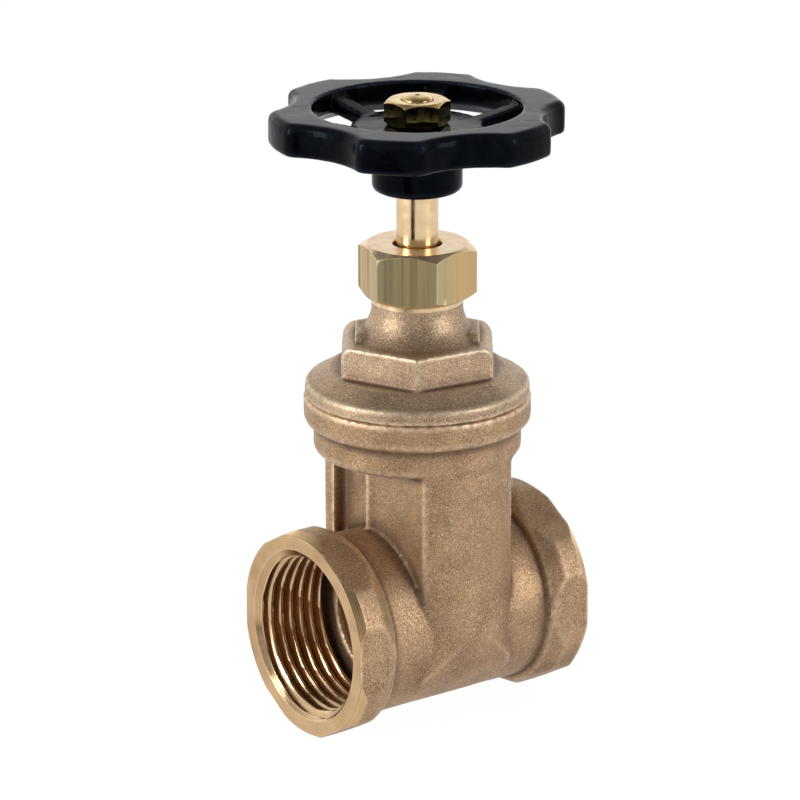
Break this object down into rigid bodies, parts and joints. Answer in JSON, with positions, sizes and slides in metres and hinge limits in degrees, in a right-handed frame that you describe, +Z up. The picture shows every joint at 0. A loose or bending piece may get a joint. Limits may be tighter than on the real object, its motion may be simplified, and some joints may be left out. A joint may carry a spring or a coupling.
{
  "type": "gate valve",
  "caption": "Bronze gate valve with straight-through threaded ports, screwed bonnet, non-rising stem, gland nut and a black lobed handwheel.",
  "frame": {"origin": "on the stem axis, level with the lowest corner of the hexagonal pipe ends", "axes": "+Z up along the stem axis to the handwheel; X along the pipe axis; Y across, along the body's wide direction"},
  "size_m": [0.0562, 0.0562, 0.123],
  "materials": {
    "cast_bronze": "sand-cast, matt, machined on the port faces and threads",
    "machined_brass": "turned and milled, bright",
    "black_paint": "glossy black paint over cast metal",
    "ptfe": "plain",
    "fibre": "plain fibre sheet"
  },
  "bodies": {
    "valve": {"valve_body": "cast_bronze", "bonnet_gasket": "fibre", "bonnet": "cast_bronze", "lower_thrust_washer": "ptfe", "upper_thrust_washer": "ptfe", "packing_ring_1": "ptfe", "packing_ring_2": "ptfe", "packing_ring_3": "ptfe", "gland_follower": "machined_brass", "gland_nut": "machined_brass"},
    "stem_and_wheel": {"stem": "machined_brass", "handwheel": "black_paint", "handwheel_nut": "machined_brass"},
    "gate": {"wedge": "cast_bronze"}
  },
  "joints": [
    {"name": "handwheel_turn", "type": "hinge", "parent": "valve", "child": "stem_and_wheel", "pos_m": [0, 0, 0.0906], "axis": [0, 0, 1], "range_deg": [0, 3240]},
    {"name": "wedge_lift", "type": "slide", "parent": "valve", "child": "gate", "axis": [0, 0, 1], "range_m": [0, 0.027]}
  ],
  "couplings": [
    {"joint": "wedge_lift", "follows": "handwheel_turn", "m_per_rad": 0.00047746}
  ]
}
